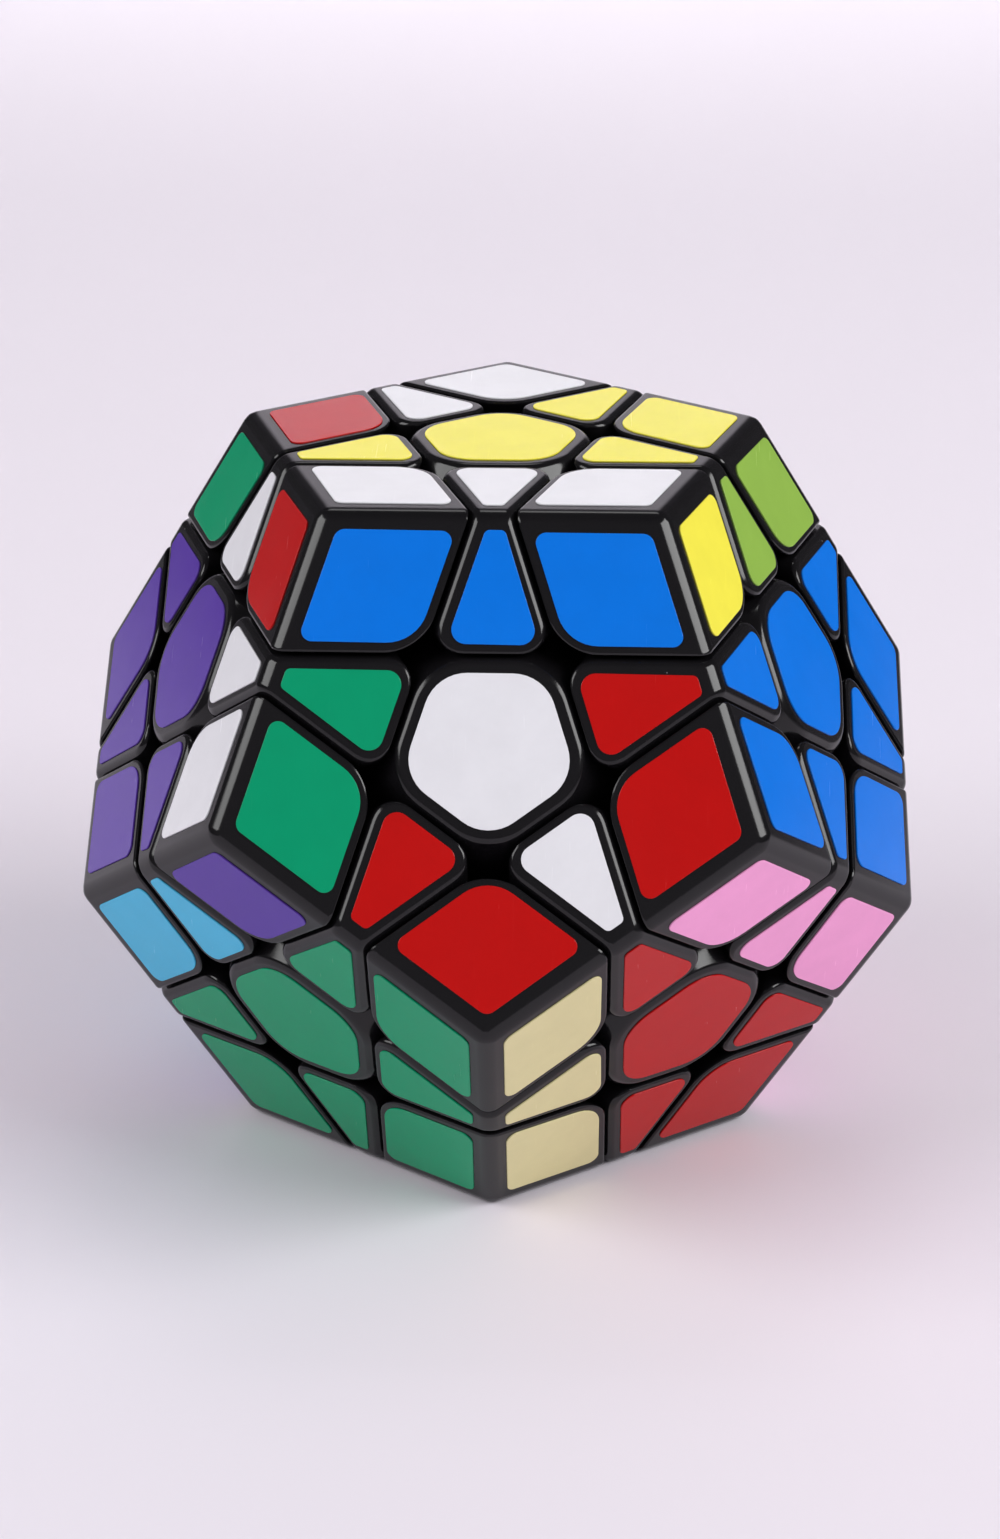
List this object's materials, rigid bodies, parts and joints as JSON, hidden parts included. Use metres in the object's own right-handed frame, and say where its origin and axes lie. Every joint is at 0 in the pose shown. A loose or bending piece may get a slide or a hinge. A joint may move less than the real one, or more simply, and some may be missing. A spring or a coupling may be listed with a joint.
{
  "type": "dodecahedron twisty puzzle",
  "caption": "Dodecahedral twisty puzzle in stickered black plastic: pentagonal faces with layers that turn about a spring-loaded core.",
  "frame": {"origin": "centre of the dodecahedron and of the core, where all face axes meet", "axes": "+Z out of the top (yellow) face, -Z out of the face it rests on (cream), -Y towards the front, where the white face looks forward and up, +X to the right"},
  "size_m": [0.0852, 0.0896, 0.0734],
  "materials": {
    "black_plastic": "satin moulded ABS",
    "zinc_steel": "zinc plated",
    "spring_steel": "drawn wire"
  },
  "bodies": {
    "core": {"core_with_fixed_centres": "black_plastic", "tension_spring_yellow": "spring_steel", "tension_spring_red": "spring_steel", "tension_spring_sky": "spring_steel", "edge_white_blue": "black_plastic", "edge_white_purple": "black_plastic", "edge_white_green": "black_plastic", "edge_blue_lime": "black_plastic", "edge_blue_pink": "black_plastic", "edge_lime_orange": "black_plastic", "edge_lime_pink": "black_plastic", "edge_lime_grey": "black_plastic", "edge_orange_purple": "black_plastic", "edge_orange_grey": "black_plastic", "edge_purple_green": "black_plastic", "edge_pink_grey": "black_plastic", "edge_pink_cream": "black_plastic", "edge_grey_cream": "black_plastic", "edge_green_cream": "black_plastic", "corner_white_purple_green": "black_plastic", "corner_blue_lime_pink": "black_plastic", "corner_lime_orange_grey": "black_plastic", "corner_lime_pink_grey": "black_plastic", "corner_pink_grey_cream": "black_plastic"},
    "layer_yellow": {"centre_yellow": "black_plastic", "edge_yellow_white": "black_plastic", "edge_yellow_blue": "black_plastic", "edge_yellow_lime": "black_plastic", "edge_yellow_orange": "black_plastic", "edge_yellow_purple": "black_plastic", "corner_yellow_white_blue": "black_plastic", "corner_yellow_white_purple": "black_plastic", "corner_yellow_blue_lime": "black_plastic", "corner_yellow_lime_orange": "black_plastic", "corner_yellow_orange_purple": "black_plastic"},
    "screw_yellow": {"tension_screw_yellow": "zinc_steel"},
    "layer_red": {"centre_red": "black_plastic", "edge_white_red": "black_plastic", "edge_blue_red": "black_plastic", "edge_red_pink": "black_plastic", "edge_red_green": "black_plastic", "edge_red_cream": "black_plastic", "corner_white_blue_red": "black_plastic", "corner_white_red_green": "black_plastic", "corner_blue_red_pink": "black_plastic", "corner_red_pink_cream": "black_plastic", "corner_red_green_cream": "black_plastic"},
    "screw_red": {"tension_screw_red": "zinc_steel"},
    "layer_sky": {"centre_sky": "black_plastic", "edge_orange_sky": "black_plastic", "edge_purple_sky": "black_plastic", "edge_grey_sky": "black_plastic", "edge_sky_green": "black_plastic", "edge_sky_cream": "black_plastic", "corner_orange_purple_sky": "black_plastic", "corner_orange_grey_sky": "black_plastic", "corner_purple_sky_green": "black_plastic", "corner_grey_sky_cream": "black_plastic", "corner_sky_green_cream": "black_plastic"},
    "screw_sky": {"tension_screw_sky": "zinc_steel"}
  },
  "joints": [
    {"name": "layer_yellow_turn", "type": "hinge", "parent": "core", "child": "layer_yellow", "pos_m": [0, 0, 0], "axis": [0, 0, 1], "continuous": true},
    {"name": "layer_red_turn", "type": "hinge", "parent": "core", "child": "layer_red", "pos_m": [0, 0, 0], "axis": [0.5257, -0.7236, -0.4472], "continuous": true},
    {"name": "layer_sky_turn", "type": "hinge", "parent": "core", "child": "layer_sky", "pos_m": [0, 0, 0], "axis": [-0.8507, 0.2764, -0.4472], "continuous": true},
    {"name": "screw_yellow_adjust", "type": "hinge", "parent": "core", "child": "screw_yellow", "pos_m": [0, 0, 0], "axis": [0, 0, 1], "range_deg": [-180, 180]},
    {"name": "screw_red_adjust", "type": "hinge", "parent": "core", "child": "screw_red", "pos_m": [0, 0, 0], "axis": [0.5257, -0.7236, -0.4472], "range_deg": [-180, 180]},
    {"name": "screw_sky_adjust", "type": "hinge", "parent": "core", "child": "screw_sky", "pos_m": [0, 0, 0], "axis": [-0.8507, 0.2764, -0.4472], "range_deg": [-180, 180]}
  ]
}
